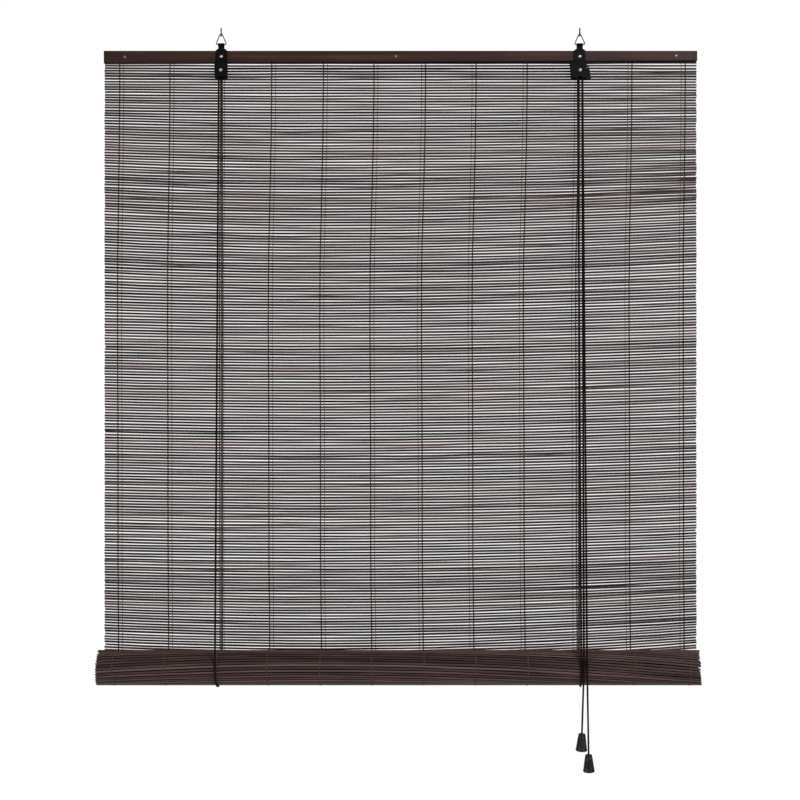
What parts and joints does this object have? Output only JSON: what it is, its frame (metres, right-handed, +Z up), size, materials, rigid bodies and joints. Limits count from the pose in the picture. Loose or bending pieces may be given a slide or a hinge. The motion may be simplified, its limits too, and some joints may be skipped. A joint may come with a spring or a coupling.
{
  "type": "bamboo roll up blind",
  "caption": "Half-raised roll up blind of dark split bamboo: wooden head rail on steel hooks, cord-carried roll, lifting cords with tassels and a cord lock.",
  "frame": {"origin": "on the ceiling plane, midway between the two screw hooks' shanks", "axes": "+X right along the head rail as seen from the room, +Y from the room towards the window, +Z up"},
  "size_m": [0.909, 0.0736, 1.1153],
  "materials": {
    "stained_wood": "satin",
    "bamboo": "satin",
    "thread": "matte",
    "cord": "matte",
    "steel": "satin",
    "black_steel": "satin",
    "wheel_plastic": "matte",
    "tassel_plastic": "satin"
  },
  "bodies": {
    "hooks": {"screw_hook_left": "steel", "screw_hook_right": "steel"},
    "left_ring": {"wire_ring_left": "steel"},
    "right_ring": {"wire_ring_right": "steel"},
    "headrail": {"front_batten": "stained_wood", "rear_batten": "stained_wood", "rail_nails": "steel", "mat_slats": "bamboo", "warp_threads": "thread", "jaw_pin": "steel", "left_cord_across": "cord", "right_cord_over_wheel": "cord", "bracket_front_left": "black_steel", "bracket_back_left": "black_steel", "backing_plate_left": "black_steel", "rail_rivet_left": "steel", "axle_rivet_left": "steel", "left_cord_end": "cord", "left_cord_knot": "cord", "left_cord_back_strand": "cord", "left_cord_front_strand": "cord", "pull_cord_left_upper": "cord", "bracket_front_right": "black_steel", "bracket_back_right": "black_steel", "backing_plate_right": "black_steel", "rail_rivet_right": "steel", "axle_rivet_right": "steel", "right_cord_end": "cord", "right_cord_knot": "cord", "right_cord_back_strand": "cord", "right_cord_front_strand": "cord", "pull_cord_right_upper": "cord"},
    "left_wheel": {"cord_wheel_left": "wheel_plastic"},
    "lock_wheel": {"cord_wheel_right": "wheel_plastic"},
    "lock_jaw": {"lock_jaw": "wheel_plastic"},
    "lift": {"left_cord_sling": "cord", "right_cord_sling": "cord", "pull_cord_left_lower": "cord", "pull_cord_right_lower": "cord"},
    "roll": {"roll_turns": "bamboo", "bottom_battens": "stained_wood"},
    "tassel_left": {"tassel_left": "tassel_plastic", "tassel_knot_left": "cord"},
    "tassel_right": {"tassel_right": "tassel_plastic", "tassel_knot_right": "cord"}
  },
  "joints": [
    {"name": "left_ring_swing", "type": "hinge", "parent": "hooks", "child": "left_ring", "pos_m": [-0.2715, 0, -0.0041], "axis": [1, 0, 0], "range_deg": [-30, 30]},
    {"name": "right_ring_swing", "type": "hinge", "parent": "hooks", "child": "right_ring", "pos_m": [0.2715, 0, -0.0041], "axis": [1, 0, 0], "range_deg": [-30, 30]},
    {"name": "rail_swing", "type": "hinge", "parent": "left_ring", "child": "headrail", "pos_m": [-0.2715, 0, -0.0203], "axis": [1, 0, 0], "range_deg": [-30, 30]},
    {"name": "blind_lift", "type": "slide", "parent": "headrail", "child": "lift", "axis": [0, 0, 1], "range_m": [0, 0.85], "deforming": ["mat_slats", "warp_threads", "left_cord_back_strand", "left_cord_front_strand", "pull_cord_left_upper", "right_cord_back_strand", "right_cord_front_strand", "pull_cord_right_upper"]},
    {"name": "roll_spin", "type": "hinge", "parent": "lift", "child": "roll", "pos_m": [0, -0.01824, -0.9596], "axis": [1, 0, 0], "range_deg": [-1850, 0]},
    {"name": "left_wheel_spin", "type": "hinge", "parent": "headrail", "child": "left_wheel", "pos_m": [-0.2715, -0.0017, -0.0602], "axis": [0, 1, 0], "range_deg": [0, 27100]},
    {"name": "lock_wheel_spin", "type": "hinge", "parent": "headrail", "child": "lock_wheel", "pos_m": [0.2715, -0.0017, -0.0602], "axis": [0, 1, 0], "range_deg": [0, 27100]},
    {"name": "lock_jaw_turn", "type": "hinge", "parent": "headrail", "child": "lock_jaw", "pos_m": [0.2813, -0.0017, -0.0566], "axis": [0, 1, 0], "range_deg": [-20, 0]},
    {"name": "left_tassel_drop", "type": "slide", "parent": "lift", "child": "tassel_left", "axis": [0, 0, -1], "range_m": [0, 2.55], "deforming": ["pull_cord_left_lower"]},
    {"name": "right_tassel_drop", "type": "slide", "parent": "lift", "child": "tassel_right", "axis": [0, 0, -1], "range_m": [0, 2.55], "deforming": ["pull_cord_right_lower"]}
  ],
  "couplings": [
    {"joint": "right_ring_swing", "follows": "left_ring_swing", "ratio": 1},
    {"joint": "roll_spin", "follows": "blind_lift", "rad_per_m": -37.951},
    {"joint": "left_wheel_spin", "follows": "blind_lift", "rad_per_m": 555.56},
    {"joint": "lock_wheel_spin", "follows": "blind_lift", "rad_per_m": 555.56},
    {"joint": "left_tassel_drop", "follows": "blind_lift", "ratio": 3},
    {"joint": "right_tassel_drop", "follows": "blind_lift", "ratio": 3}
  ]
}
